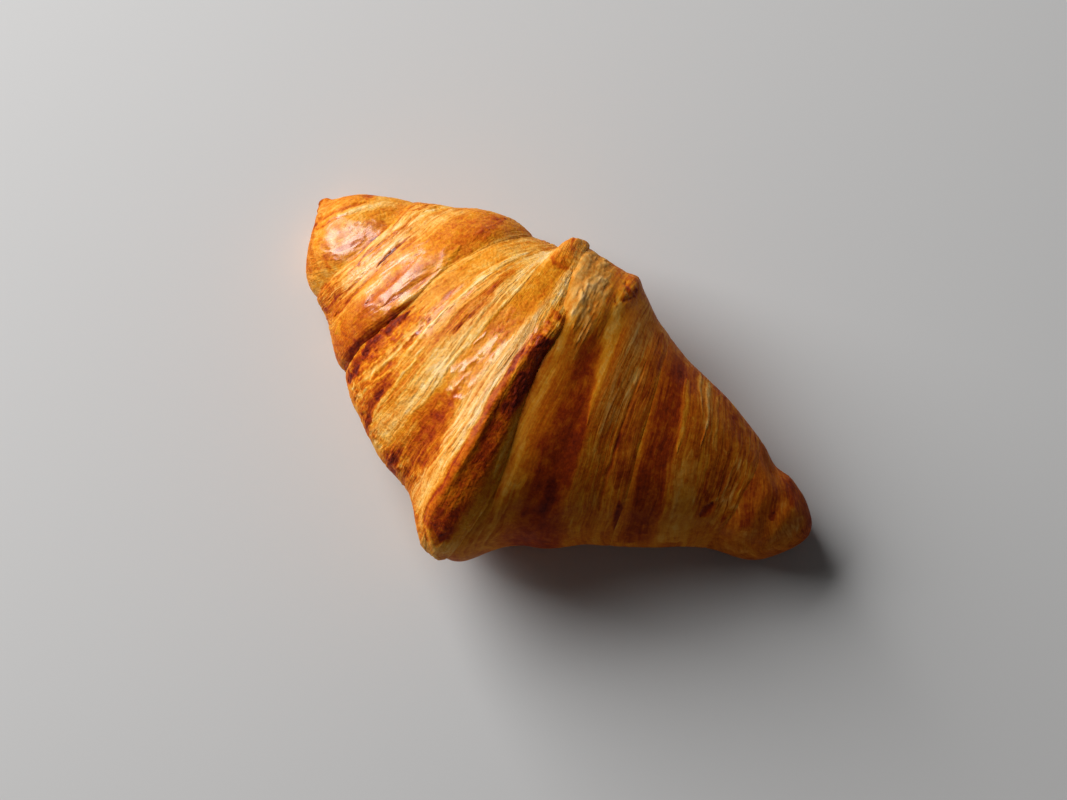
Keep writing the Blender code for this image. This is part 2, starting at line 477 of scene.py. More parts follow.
leftShoulder["strokes"] = [
    # pale laminated foot of the shoulder
    stroke((30, -58.5, 3.2), (150, -59.5, 3.2), bake=-0.02, dry=0.1, calm=-0.35),
    stroke((45, -59.5, 0.9), (60, -60.2, 0.9), bake=-0.25),
    stroke((42, -56.8, 0.7), (53, -57.2, 0.7), bake=-0.25),
    stroke((65, -60.5, 0.5), (82, -61.2, 0.5), bake=-0.2),
    stroke((70, -59.5, 0.4), (82, -59.4, 0.5), bake=0.25, rise=-0.2),
    stroke((89, -60.5, 0.5), (95, -59, 0.4), bake=0.2),
    stroke((100, -61.5, 0.6), (124, -60.6, 0.5), bake=0.14),
    stroke((98, -59.2, 0.4), (110, -59, 0.4), bake=0.15),
    stroke((128, -57, 6), (165, -57, 6), bake=0.29, edge=0.9),
    # dark split and the thin line that carries it on
    stroke((71, -54.6, 0.4), (80, -54.9, 0.6), (89, -54.5, 0.4),
           bake=0.45, rise=-0.3, calm=-0.3, shine=-0.3, rough=0.5),
    stroke((68, -53.2, 0.8), (76, -52.6, 0.7), bake=0.18),
    stroke((66, -57.4, 2.4), (104, -57.6, 2.6), bake=0.1, shine=0.25),
    stroke((90, -53.3, 0.4), (100, -53.2, 0.4), (112, -52.8, 0.4), (122, -52, 0.4), (134, -51.4, 0.3),
           bake=0.2, rise=-0.3),
    stroke((98, -55.6, 0.35), (118, -54.9, 0.5), bake=0.18, rise=-0.2),
    stroke((66, -56.3, 0.5), (104, -56, 0.6), bake=-0.15, rise=0.15),
    # glossy lobe
    stroke((20, -46, 5), (90, -46.5, 5), (180, -44.5, 4.5), calm=0.6, dry=-0.2, bake=0.05),
    stroke((30, -45.5, 2.6), (62, -44.5, 3), bake=0.04),
    stroke((30, -44.8, 1), (46, -43.6, 1.2), bake=0.12, rough=0.4),
    stroke((80, -48, 1), (103, -47, 0.9), bake=0.12, rise=-0.25),
    stroke((82, -42.2, 0.8), (96, -42.8, 0.8), bake=0.14, rise=-0.2),
    stroke((112, -45, 3.2), (178, -42.5, 3.5), bake=0.12),
    stroke((112, -50.3, 1.2), (145, -50, 1.4), bake=-0.06),
    stroke((141, -47.8, 0.8), (148, -47.2, 0.7), bake=-0.16, rise=0.2),
    stroke((64, -43.2, 0.7), (76, -41.8, 0.8), (88, -41.2, 0.8), (97, -41.4, 0.6),
           bake=-0.1, rise=0.25, dry=-0.1),
    # egg wash where the lobe is glossiest
    stroke((73, -50, 1), (90, -51, 1.1), (106, -49.4, 1.1), (108, -45, 1.2), (103, -41.6, 1.1),
           shine=0.9, edge=0.5),
    stroke((73, -49, 1.4), (80, -46, 2), (88, -44.4, 1.9), (97, -43.6, 2.2), shine=0.9, edge=0.5),
    stroke((66, -44.5, 0.5), (74, -42.2, 0.5), (90, -40.9, 0.5), (96, -40.6, 0.5), shine=0.8, rise=0.15),
    stroke((70, -56, 1.6), (112, -56, 1.8), shine=0.8, rough=0.25),
    # down into the burnt gap: first a painted shade, darker and redder, on the lobe's slope that falls away
    # from the lamp, then the gap's own burnt crust
    stroke((98, -40.4, 0.8), (125, -40.5, 1), (150, -40.2, 1.1), bake=0.3, edge=0.9),
    stroke((97, -39.6, 0.5), (112, -39.6, 0.6), (134, -39.4, 0.7), bake=0.3, dry=-0.1, rough=0.8),
    stroke((132, -38.8, 1.5), (172, -38.5, 1.5), bake=0.34),
]

# (degrees, wrap) lines: along the ridge, along the foot of its dark face, and about half way down the face
besideRidge = {"before": 2.6, "after": 1.6, "downFace": 0.9}  # millimetres
ridgeLine = [(-90, -5), (10, -7), (25, -6.5), (40, -6), (50, -4.6), (60, -2.8), (66, -2.2), (72, -2.5),
             (80, -4), (88, -4.7), (95, -5), (110, -4.8), (125, -4.6), (140, -4.4), (150, -4.2), (160, -2.8),
             (175, -2.5)]
footLine = [(-90, -3), (10, -5), (40, -4), (50, -2.8), (60, -1.2), (66, -0.2), (75, 0.3), (88, 1.9),
            (100, 3.4), (118, 4.8), (135, 4.5), (150, 3.4), (160, 2.6), (175, 1.2)]
faceLine = [(turn, (at + foot) / 2 + besideRidge["downFace"])
            for (turn, at), foot in zip(ridgeLine, around(footLine, np.array([p[0] for p in ridgeLine])))]

crown = {
    "profile": [
        (-30, -14), (-34, -7),
        ([(-90, -39), (60, -42.6), (85, -42), (97, -40.4), (150, -39.6), (180, -39)],
         [(-90, -2.4), (0, -3.4), (20, -3.6), (42, -2), (60, -0.9), (85, -0.9), (97, -1.7), (130, -1.9),
          (150, -2.7), (180, -2.6)]),
        ([(-90, -38.6), (60, -41.2), (85, -40.8), (97, -39.6), (150, -39), (180, -38.6)],
         [(-90, -1.4), (0, -2.7), (20, -3), (42, -1.5), (60, -0.3), (85, -0.3), (97, -0.7), (130, -0.9),
          (150, -1.7), (180, -1.8)]),
        ([(-90, -37), (60, -39.3), (85, -39), (97, -37.6), (150, -37.2), (180, -37)],
         [(-90, -0.3), (0, -2.4), (20, -3), (38, -2), (60, 0.15), (85, 0.15), (97, -0.5), (130, -0.7),
          (150, -1.2), (180, -1.2)]),
        (-34, [(-90, 0), (0, -2.6), (20, -3.2), (38, -2.2), (60, 0.2), (85, 0.2), (97, -0.1), (130, -0.3),
               (150, -0.7), (180, -0.8)]),
        (-28, [(-90, 0.3), (0, -2.6), (20, -3.4), (38, -2.4), (60, 0.2), (120, 0.3), (180, -0.2)]),
        (-21, [(-90, 0.6), (0, -1.6), (20, -2.2), (38, -1.4), (60, 0.6), (130, 0.6), (165, 1.2), (180, 1)]),
        (-14, [(-90, 0.6), (0, 0), (20, 0.3), (40, 1), (60, 1.2), (90, 1.7), (140, 1.6), (165, 2.6),
               (180, 2)]),
        ([(turn, at - besideRidge["before"]) for turn, at in ridgeLine],
         [(-90, 0.5), (10, 1), (25, 1.5), (40, 0.9), (58, 0.9), (63, 1.1), (70, 1.9), (85, 2.4), (150, 2.8),
          (165, 2.2), (180, 1)]),
        (ridgeLine,
         [(-90, 0.4), (25, 1.2), (40, 0.7), (58, 0.6), (62, 0.8), (66, 1.5), (70, 2.2), (76, 3), (85, 3.1),
          (150, 2.9), (165, 0.9), (180, -0.2)]),
        ([(turn, at + besideRidge["after"]) for turn, at in ridgeLine],
         [(-90, 0), (25, 0.7), (40, 0.3), (58, 0.2), (62, 0.6), (66, 1.2), (70, 1.8), (76, 2.4), (85, 2.5),
          (100, 2.3), (150, 2.2), (165, 0.4), (180, -0.5)]),
        (faceLine, [(-90, -1), (25, 0.1), (40, -0.1), (58, -0.2), (62, -0.3), (66, 0.6), (69, 0.9),
                    (76, 0.6), (85, 0.5), (100, 0.8), (120, 0.8), (140, 0.7), (152, 0.2), (165, -1),
                    (180, -1.3)]),
        (footLine, [(-90, -3), (25, -1.2), (40, -0.9), (55, -1), (63, -2.2), (70, -3.2), (85, -3.4),
                    (150, -3.4), (165, -3), (180, -3)]),
        (-1, -8), (-4, -15)],
    "rows": [5, 6, 8, 12, 20, 34, 40, 38, 26, 14, 12, 30, 30, 8, 5],
    "plies": {"seed": 8, "gap": 1.35, "slant": 0, "lean": 0.01, "wander": 0.9, "shown": 0.2, "facing": 1},
    "vary": 1,
    "crisp": 1,
    "base": {"bake": 0.4, "dry": 0.1, "calm": 0.4, "shine": 0.05},
}
crown["strokes"] = [
    # smooth golden upper left
    stroke((42, -36, 3.5), (58, -36.3, 3.2), calm=0.3, bake=-0.05),
    stroke((58, -36.3, 3.4), (84, -36.5, 3), calm=0.4, bake=0.03),
    # rough browned cut edge over the gap
    stroke((98, -36.6, 2), (118, -36.2, 2.8), (146, -36.8, 2.4), bake=0.2, rough=1, calm=0.2, dry=-0.1),
    stroke((97, -38.2, 0.9), (110, -38.4, 1.3), (128, -38.4, 1.2), bake=0.34, rough=1, dry=-0.1),
    stroke((95, -38.8, 0.7), (112, -38.8, 0.8), (132, -38.6, 0.8), bake=0.26, rough=0.8, dry=-0.1),
    stroke((134, -37.3, 1.3), (172, -37.2, 1.6), bake=0.3),
    stroke((144, -36.8, 0.8), (164, -36.6, 1), bake=0.35, rise=-0.4),
    stroke((85, -34.4, 0.7), (96, -33.4, 0.7), bake=0.2, rise=-0.15),
    # thin pale layers, with browner ones between them
    stroke((96, -32.8, 2.2), (124, -31.4, 2.6), (150, -32.4, 2.6), rough=0.7),
    stroke((92, -33.3, 0.3), (106, -32.2, 0.3), (125, -31.4, 0.35), (140, -32, 0.3), (156, -34, 0.3),
           bake=-0.2, rise=0.1, edge=0.8),
    stroke((98, -34.6, 0.25), (120, -33.2, 0.3), (138, -33.6, 0.25), bake=-0.16, rise=0.1, edge=0.8),
    stroke((96, -31.9, 0.4), (112, -31, 0.5), (132, -30.4, 0.5), bake=0.18, rise=-0.2),
    stroke((93, -30.8, 0.3), (118, -29.4, 0.35), (140, -29.7, 0.3), (154, -31, 0.3),
           bake=-0.2, rise=0.1, edge=0.8),
    stroke((110, -27.6, 0.25), (132, -26.2, 0.3), (146, -25.4, 0.25), bake=-0.22, rise=0.12, edge=0.5),
    stroke((100, -28.4, 0.8), (134, -28, 0.9), bake=0.08),
    stroke((137, -27.2, 0.7), (152, -26.8, 0.9), bake=0.35, rough=0.6, rise=-0.2),
    # cream and yellow fields
    stroke((38, -25, 3.7), (46, -20, 3.7), bake=-0.27, dry=0.2),
    stroke((44, -31.4, 0.8), (60, -30.8, 0.8), (80, -31.2, 0.6), (95, -30.8, 0.4), bake=-0.22, rise=0.12),
    stroke((48, -27, 2), (54, -24, 2.2), (70, -21, 2.4), bake=-0.16),
    stroke((94, -23.6, 2.2), (120, -23.2, 2.7), (148, -22.8, 2.4), bake=-0.19, dry=0.06),
    stroke((76, -22.4, 0.35), (90, -22.1, 0.35), (106, -21.6, 0.35), (128, -21.4, 0.3),
           bake=-0.14, rise=0.12),
    stroke((66, -18.4, 0.5), (84, -19.4, 0.5), (100, -20.3, 0.5), (122, -20.3, 0.5), bake=-0.17, rise=0.15),
    stroke((62, -25, 1.4), (93, -24.8, 1.5), bake=0.12),
    stroke((68, -25.3, 0.5), (72, -25.2, 0.6), bake=0.16),
    stroke((77, -24.6, 0.4), (83, -24.3, 0.5), bake=0.12, rough=0.3),
    stroke((88, -24.9, 0.4), (91, -24.6, 0.4), bake=0.2),
    # glossy orange band
    stroke((48, -10.5, 4.6), (64, -12.2, 4.6), (80, -14.6, 3.6), bake=0.06, calm=0.6, dry=-0.25),
    stroke((80, -15.2, 3.4), (105, -16.2, 3.2), (130, -16.6, 3), bake=0.06, calm=0.55, dry=-0.25),
    stroke((116, -15.6, 2.6), (146, -14.6, 2.4), bake=0.16, dry=-0.1),
    stroke((45, -15.5, 0.5), (48.5, -12, 0.6), (48, -9, 0.5), (46, -6, 0.5),
           bake=0.16, rise=-0.12, fray=0.3, edge=1),
    stroke((86, -14.2, 0.8), (93, -15.2, 1), (103, -18.2, 0.8),
           rise=0.14, rough=0.2, shine=0.65, bake=-0.06),
    stroke((104, -15.3, 0.8), (111, -16.6, 1), rise=0.12, rough=0.2, shine=0.65, bake=-0.06),
    stroke((85, -10.8, 0.7), (91, -11.8, 0.9), rise=0.12, rough=0.2, shine=0.8, bake=-0.08),
    stroke((96, -11.8, 0.7), (101, -13, 0.9), rise=0.12, rough=0.2, shine=0.7, bake=-0.08),
    stroke((108, -12.6, 0.3), (113, -14.2, 0.35), rise=0.2, shine=0.8),
    stroke((87, -17.6, 0.3), (90, -18.3, 0.3), rise=0.2, shine=0.8),
    stroke((84, -14, 2.6), (112, -14.5, 3.2), rough=0.4, shine=0.04),
    # glints beside the gap, on the layers and along the ridge
    stroke((84, -33.5, 1.2), (98, -32.6, 1.4), shine=0.5, rough=0.35),
    stroke((74, -30.6, 1), (98, -30.6, 1.4), shine=0.4, rough=0.2),
    stroke((76, -5.8, 0.5), (84, -7.2, 0.6), (96, -8.2, 0.5), shine=0.6),
    stroke((106, -7.6, 0.3), (116, -7.6, 0.3), shine=0.6, rise=0.15),
    # bump at the back
    stroke((24, -11, 3.5), (40, -10.5, 4), bake=0.14, rise=0.6, calm=0.3, edge=1, fray=0.3),
    stroke((27, -10, 1.4), (35, -8.5, 1.2), bake=0.16, rough=0.25, fray=0.3),
    # laminated pale strip beside the ridge
    stroke((50, -6, 1.4), (66, -7, 1.8), (82, -8.6, 1.8), (104, -9.2, 2), (134, -9.4, 2.2), (158, -9, 2.2),
           bake=-0.15, dry=0.25, calm=-0.6),
    stroke((134, -8, 1), (156, -7, 1.3), bake=-0.1),
    stroke((120, -11.5, 0.5), (150, -12.5, 0.6), bake=0.16, rise=-0.2),
    # bare wrinkled dough that runs on under the collar
    stroke((26, -6.2, 1.8), (44, -5.4, 1.6), (58, -4.2, 1.6), bake=-0.08, dry=0.25, wrinkle=0.35, calm=0.4),
    # golden run-out beside the nose
    stroke((49, -4.6, 1.5), (56, -3.4, 1.6), (62, -2.6, 1.2), bake=0.06),
    # the ridge: burnt nose, dark face, ruddy lower part
    stroke((65, -2.4, 1.9), (70, -3.2, 1.7), (78, -4.6, 0.9), (90, -6, 0.5), bake=0.3, dry=0.05, rough=0.8),
    stroke((73, -1.4, 1.2), (78, -1.8, 1.9), (86, -1.9, 2), (94, -1.2, 1.4),
           bake=0.3, dry=-0.05, rough=0.8, shine=0.15),
    stroke((78, -2.2, 1.9), (98, -2, 2.4), (118, -1.6, 2.5), (138, -1.6, 2.5), (152, -1.6, 2.5),
           bake=0.27, calm=0.6, dry=-0.2, edge=0.5),
    stroke((98, -3, 1.2), (112, -2.6, 1.2), bake=0.12, edge=0.9),
    stroke((94, 1.4, 0.9), (120, 2.2, 1.9), (142, 1.8, 1.9), bake=0.06, calm=0.3, dry=-0.2),
    stroke((88, -5.9, 0.8), (100, -5.3, 1.5), (124, -4.3, 1.6), (140, -3.9, 1.5), (154, -3.3, 1.2),
           bake=0.12, calm=0.6, dry=-0.25, edge=0.2, fray=0.15),
    stroke((88, -5.8, 0.5), (98, -5.7, 0.7), (118, -5.5, 0.8), (138, -5.3, 0.7),
           bake=0.16, dry=-0.15, calm=0.3, fray=0.3),
    stroke((120, -6.1, 0.25), (130, -5.7, 0.3), (142, -5.3, 0.3), (153, -4.6, 0.35),
           bake=0.18, rise=-0.15, edge=0.7, fray=0.15),
    stroke((96, 0.6, 1), (110, 1.6, 1), bake=-0.12),
    stroke((142, -1, 1), (151, -0.8, 1.2), bake=0.3),
    stroke((156, -2.6, 1.4), (161, -1, 1.4), bake=-0.1, dry=0.1, rise=0.2),
    stroke((166, -4, 4), (190, -4, 5), bake=0.1),
    # flaky cut edges low on the front
    stroke((154, -36, 2.4), (160, -24, 3), (158, -11, 2.6), rough=0.8, calm=-0.3),
    # darker low on the front: partly browner towards the tray, partly painted shade of the lower front
    stroke((130, -29, 6), (156, -29, 6), bake=0.12, edge=0.9),
    stroke((128, -15, 6), (154, -14, 6), bake=0.2, edge=0.9),
    stroke((165, -33, 5), (165, -12, 7), bake=0.14, edge=0.9),
    # stripes low on the front
    stroke((155, -26, 0.8), (185, -26.4, 1), bake=0.2),
    stroke((155, -22, 1.2), (185, -22, 1.4), bake=-0.12),
    stroke((156, -17.5, 0.9), (185, -17.5, 1.1), bake=0.24),
    stroke((158, -14, 0.6), (185, -14, 0.8), bake=0.2),
]

collar = {
    "profile": [
        (-10, -16), (-9, -8),
        (-6, [(-90, -2.5), (20, -0.4), (35, 0.1), (50, -0.3), (62, -1.2), (72, -2.6), (150, -4),
              (180, -2.5)]),
        (-1, [(-90, -2), (0, -1), (20, -0.8), (45, 0.7), (50, 0.9), (60, 1.1), (68, 1), (85, -0.4),
              (100, -1.8), (150, -3), (165, -2.5), (180, -2.4)]),
        (4, [(-90, -1.5), (0, -1.4), (20, -1.2), (45, 0.3), (50, 0.5), (60, 0.8), (70, 0.8), (90, -0.3),
             (120, -1.6), (150, -2.3), (165, -2.6), (180, -2.4)]),
        (8, [(-90, -0.5), (0, -0.8), (20, -0.3), (45, 0.5), (50, 0.7), (70, 0.4), (100, -0.4), (150, -1.5),
             (165, -2.1), (180, -2)]),
        (11, [(-90, 0), (0, 1.2), (20, 1.4), (32, 1.3), (44, 0.6), (70, 0), (100, -0.2), (150, -0.7),
              (165, -1.2), (180, -1.1)]),
        (14.5, [(-90, 0.3), (20, 0.7), (34, 0.6), (48, 0.3), (180, 0.3)]),
        (18, 0.4), (24, -0.1), (28, 0.05), (30.4, 0.05), (31.8, -0.35), (32.8, -1.6), (30, -6), (25, -14)],
    "rows": [5, 8, 28, 30, 28, 24, 26, 28, 40, 32, 14, 14, 8, 6, 5],
    "plies": {"seed": 14, "gap": 1.5, "slant": 0.01, "lean": 0.012, "wander": 0.9, "shown": 0.1,
              "facing": -1},
    "vary": 0.75,
    "crisp": 0.25,
    # browner base than the left wraps: partly deeper baking, partly painted shade of the right half, which
    # faces away from the lamp
    "base": {"bake": 0.55, "dry": 0.06, "calm": 0.45, "shine": 0.12},
}
collar["strokes"] = [
    # bare wrinkled dough above the ridge's nose
    stroke((22, -1.5, 5.5), (42, -0.8, 5.5), (58, 0.4, 3.4), bake=-0.24, dry=0.42, calm=0.4, wrinkle=0.7),
    stroke((40, 5, 2.6), (60, 5.6, 2.2), bake=-0.12, dry=0.3, wrinkle=0.5),
    stroke((58, 0.5, 1.6), (64, 2, 1.4), bake=-0.1, rise=0.3),
    # golden valley beside the ridge
    stroke((66, 0.6, 1.2), (72, 1.2, 1.5), (86, 2.8, 1.8), (102, 4.2, 1.8), (118, 5.6, 2), bake=-0.13),
    stroke((74, 6, 2.4), (110, 7, 2), calm=0.3),
    # the end of the golden flap
    stroke((104, 5.6, 1.6), (117, 7.2, 1.3), bake=-0.12, edge=0.6),
    stroke((103, 8, 0.6), (110, 9.6, 0.8), (120, 10.4, 0.8), (134, 10.4, 0.7), bake=0.14, edge=0.8),
    stroke((84, 5.6, 1.6), (110, 6.4, 1.6), bake=0.06),
    stroke((122, 5, 3), (170, 6, 3.5), bake=-0.04, calm=-0.3),
    # blistered bump at the back
    stroke((18, 11, 2.6), (34, 11, 3), bake=-0.03, rough=0.6, dry=-0.1, edge=0.9),
    stroke((29, 10, 0.7), (32, 11.2, 0.8), bake=0.4, rise=-0.2, rough=0.9, fray=0.3),
    stroke((35, 12.4, 0.6), (38, 11.4, 0.6), bake=0.4, rise=-0.2, rough=0.9, fray=0.3),
    stroke((41, 9.4, 0.4), (42, 10.2, 0.4), bake=0.3, rise=-0.1, fray=0.3),
    stroke((26, 12.8, 0.8), (30, 13, 0.8), bake=0.3, rough=0.5, fray=0.3),
    stroke((28, 7.2, 1.5), (41, 7.6, 1.5), bake=0.12),
    # bright streak, then the glossy band that darkens downwards
    stroke((64, 9.8, 2.4), (76, 11.2, 3.6), (90, 12.6, 4.4), (118, 13.6, 4.4), (150, 13.8, 4.6),
           (180, 13.8, 4.6), bake=0.22, calm=0.45, dry=-0.2, edge=0.3),
    stroke((30, 7.5, 3), (58, 10.4, 3.4), bake=-0.13, dry=-0.2),
    stroke((40, 11.4, 0.9), (48, 12.4, 1.3), (58, 13.6, 1.4), (68, 15, 1.1), (80, 16, 0.7),
           bake=-0.24, rise=0.12, dry=-0.4, calm=0.3, edge=0.9),
    stroke((44, 9.2, 1), (62, 10.8, 1.2), (80, 12, 1.4), bake=0.1),
    stroke((86, 12.8, 3), (120, 13.8, 3.6), bake=0.16),
    stroke((124, 13.8, 1.4), (133, 14, 2), (142, 13.8, 1.4), bake=0.3, dry=-0.1),
    stroke((150, 14, 4.2), (182, 14, 4.4), bake=0.12),
    # pale striped band
    stroke((24, 21, 4), (60, 21.8, 4), (84, 21.8, 3.4), bake=-0.1, dry=0.35, calm=-0.3),
    stroke((57, 24.1, 0.8), (63, 24.2, 0.9), bake=-0.2),
    stroke((92, 21.4, 3.4), (150, 21.4, 3.6), calm=-0.3, bake=0.04),
    stroke((66, 20, 0.6), (69, 20.3, 0.6), bake=0.22),
    stroke((58, 25.4, 0.35), (95, 25.6, 0.4), (132, 25.4, 0.35), bake=0.16, rise=-0.1),
    stroke((93, 25.7, 0.5), (97, 25.7, 0.5), bake=0.3),
    stroke((28, 28, 2.4), (110, 28, 2.6), bake=0.2, dry=0.27, calm=-0.2),
    stroke((130, 30, 0.7), (146, 30.4, 0.8), bake=0.32),
    stroke((100, 30, 1), (178, 30, 1.2), bake=0.14),
]

rightShoulder = {
    "profile": [(24, -14), (26.5, -6), (28, -2.4), (29.6, -0.8), (31.6, 0), (38, 0.1), (42, 0.3), (48, 0.2),
                (54, 0.1),
                (58, 0.05), (60.2, 0.05), (61.8, -0.35), (62.8, -1.6), (60, -5), (56, -11)],
    "rows": [5, 6, 14, 20, 32, 34, 44, 42, 32, 22, 12, 10, 6, 5],
    "plies": {"seed": 21, "gap": 1.3, "slant": 0.02, "lean": 0.015, "wander": 0.9, "shown": 0.1,
              "facing": -1},
    "vary": 0.75,
    "crisp": 0.21,
    # browner base than the left wraps: partly deeper baking, partly painted shade of the right half, which
    # faces away from the lamp
    "base": {"bake": 0.58, "dry": 0.06, "calm": 0.35, "shine": 0.12},
}
rightShoulder["strokes"] = [
    stroke((62, 33, 0.6), (80, 33.4, 0.8), (104, 33.6, 0.9), (128, 34, 0.7), bake=0.14),
    stroke((30, 36, 3.6), (70, 36.3, 3.8), (90, 36.5, 3.8), (165, 36.5, 3.8),
           bake=0.26, calm=0.25, dry=0.12),
    stroke((56, 36, 2.4), (84, 36.4, 2.4), bake=0.06),
    stroke((42, 39.6, 0.8), (58, 40.2, 0.9), (80, 40.7, 0.6), bake=-0.24, rise=0.12, dry=-0.1),
    stroke((112, 40, 1), (150, 38.5, 1.6), bake=0.14),
    # pale field in front
    stroke((88, 44.8, 2.2), (120, 46, 4), (160, 47, 4.6), bake=-0.22, dry=0.08, calm=0.25, edge=0.35),
    # pale dry streaks at the back
    stroke((24, 45, 2.4), (60, 46.2, 2.2), bake=-0.1, dry=0.2, calm=-0.3),
    stroke((26, 43.4, 0.5), (44, 44, 0.45), (54, 44.8, 0.25), bake=-0.18, dry=0.35, rise=0.1),
    stroke((28, 45.8, 0.6), (48, 46.4, 0.5), (62, 46.8, 0.3), (74, 46.6, 0.15),
           bake=-0.2, dry=0.4, rise=0.12, rough=0.4),
    stroke((34, 48.6, 0.3), (66, 49.2, 0.3), bake=-0.14, dry=0.3, rise=0.08),
    # finely striated zone
    stroke((30, 55, 6), (104, 56, 6), bake=0.09, dry=0.2, calm=-0.5),
    stroke((112, 53.8, 0.8), (118, 53.4, 1.3), (124, 52.8, 1.2),
           bake=0.42, dry=-0.1, rise=-0.2, calm=0.4, edge=0.8, fray=0.3),
    stroke((102, 52, 1.2), (108, 53, 1), bake=0.16),
    stroke((111, 58.4, 0.6), (122, 59.4, 0.6), bake=0.24),
    stroke((106, 56.3, 0.8), (130, 57.4, 1.2), bake=-0.12),
    stroke((132, 54, 4), (170, 55, 4.5), bake=-0.04, calm=0.3),
]

rightTip = {
    "profile": [(55, -11), (57, -4), (58.4, -1.8), (59.8, -0.7), (61.8, 0),
                (66.5, [(-90, 0), (0, -0.7), (28, -0.7), (52, 0), (180, 0)]),
                (70.8, [(-90, 0.1), (0, 1), (30, 0.9), (60, 0.1), (180, 0.1)]),
                (74.5, [(-90, 0.2), (0, 0.7), (30, 0.6), (60, 0.2), (180, 0.2)]),
                (78.5, 0.1), (81, 0),
                (82.2, 0), (82.5, 0)],
    "rows": [5, 6, 14, 24, 24, 24, 24, 34, 24, 10, 4],
    "plies": {"seed": 34, "gap": 1.4, "slant": 0.13, "lean": 0.01, "wander": 0.7, "shown": 0.1,
              "facing": -1},
    "vary": 0.75,
    "crisp": 0.21,
    # browner base than the left wraps: partly deeper baking, partly painted shade of the right half, which
    # faces away from the lamp
    "base": {"bake": 0.65, "dry": 0.35, "calm": 0.45, "shine": 0.2},
}
rightTip["strokes"] = [
    stroke((42, 64.5, 3), (92, 65, 3), bake=0.02, dry=0.1),
    stroke((30, 75, 6), (60, 76, 5), bake=0.14),
    stroke((104, 65.4, 1.2), (120, 65.8, 1.3), bake=0.2),
    stroke((88, 71.2, 0.7), (92, 71.4, 0.9), (96, 71.6, 0.7),
           bake=0.34, dry=-0.1, calm=0.4, edge=0.8, fray=0.3),
    stroke((70, 68.8, 1), (84, 70.4, 1), bake=0.14),
    stroke((122, 68, 3), (160, 69.5, 4), bake=-0.16, dry=0.15, calm=0.1),
    stroke((96, 77, 2.4), (150, 77.5, 2.6), bake=-0.14, dry=0.15, calm=-0.2),
    stroke((40, 72, 2), (60, 73, 2.2), bake=0.1),
    stroke((72, 78.6, 1), (96, 79, 1), bake=-0.1, dry=0.3),
    stroke((20, 81.5, 2.2), (170, 81.5, 2.2), bake=0.16),
]

wraps = {"leftTip": leftTip, "leftShoulder": leftShoulder, "crown": crown, "collar": collar,
         "rightShoulder": rightShoulder, "rightTip": rightTip}


# the crust's noises, in millimetres
crustNoise = {
    # how the layers wander: an amount, then lumps as size, seed and octaves
    "bend": [(0.5, 6, 76, 2), (0.8, 15, 96, 1)],
    # along the layers: width, length and seed
    "streaks": {"fine": (0.5, 16, 70), "finer": (0.26, 9, 71), "broad": (2.4, 30, 72),
                "threads": (1.3, 22, 77), "pale": (1.5, 45, 95)},
    # without a direction: size, seed and octaves
    "lumps": {"swell": (9.0, 80, 2), "mottle": (1.5, 86, 2), "pimples": (0.9, 85, 2),
              "crumple": (1.1, 74, 3), "knots": (1.9, 82, 3), "blister": (2.2, 73, 2),
              "threadPatches": (8, 78, 2)},
    # the same, worked out once the relief is in
    "lateLumps": {"stains": (5, 81, 3), "film": (3.0, 97, 2)},
    # sharp folds: skew in millimetres to a degree, how far lumps bend them, those lumps, and the streaks
    "folds": {"strands": (0, 0.9, (3.2, 79, 2), (2.1, 10, 75)),
              "strings": (0, 0.5, (1.8, 87, 2), (1.1, 5, 88)),
              "rumple": (0.05, 0.5, (2.5, 84, 2), (1.6, 6, 83))},
    # noises of which only a part shows: it starts at the first level and is whole at the second
    "shown": {"threads": (0.175, 0), "threadPatches": (-0.3, 0.4), "blister": (0.1, 0.85),
              "pale": (0.05, 0.55)},
    "thickFilm": (-0.5, 0.3),  # the same for the egg wash
}

# what each noise adds in each kind of zone: millimetres of rise, and shares of bake and of dryness
crustShares = {
    "rise": {
        "always": {"swell": 0.14},
        "crisp": {"swell": 0.16, "threads": 0.16, "blister": 0.12},
        "layered": {"ply": 0.27, "fine": 0.05, "finer": 0.025},
        "lumpy": {"rumple": 0.12, "pimples": 0.06, "mottle": 0.07},
        "rough": {"crumple": 0.5},
        "wrinkled": {"strands": 0.17, "strings": 0.16, "knots": 0.34, "pimples": 0.2},
    },
    "bake": {
        "always": {"threads": -0.22, "broad": 0.08, "stains": 0.07, "pale": -0.12},
        "layered": {"shade": 0.10, "rim": -0.16, "fine": 0.14},
        "lumpy": {"rumple": -0.06, "pimples": -0.06, "mottle": -0.09},
        "rough": {"crumple": 0.34},
        "wrinkled": {"strands": -0.1, "strings": -0.1, "knots": -0.14, "pimples": -0.14},
    },
    "dry": {
        "always": {"threads": 0.3, "pale": 0.4},
        "layered": {"rim": 0.2, "fine": 0.28},
        "wrinkled": {"strands": 0.15, "knots": 0.15},
    },
}

crustLimits = {
    "lumpyCalm": 0.7,  # how much of the lumps a calm place loses
    "browner": 0.03,  # bake added everywhere
    "burnt": 0.7,  # bake above this is held back, so that it only just reaches 1
    "thinFilm": 0.4,  # gloss where the egg wash is thinnest
    "dryDulls": 0.6,  # how much gloss a dry place loses
    "facesUp": (0.45, 0.8),  # gloss fades out on what doesn't face up
}


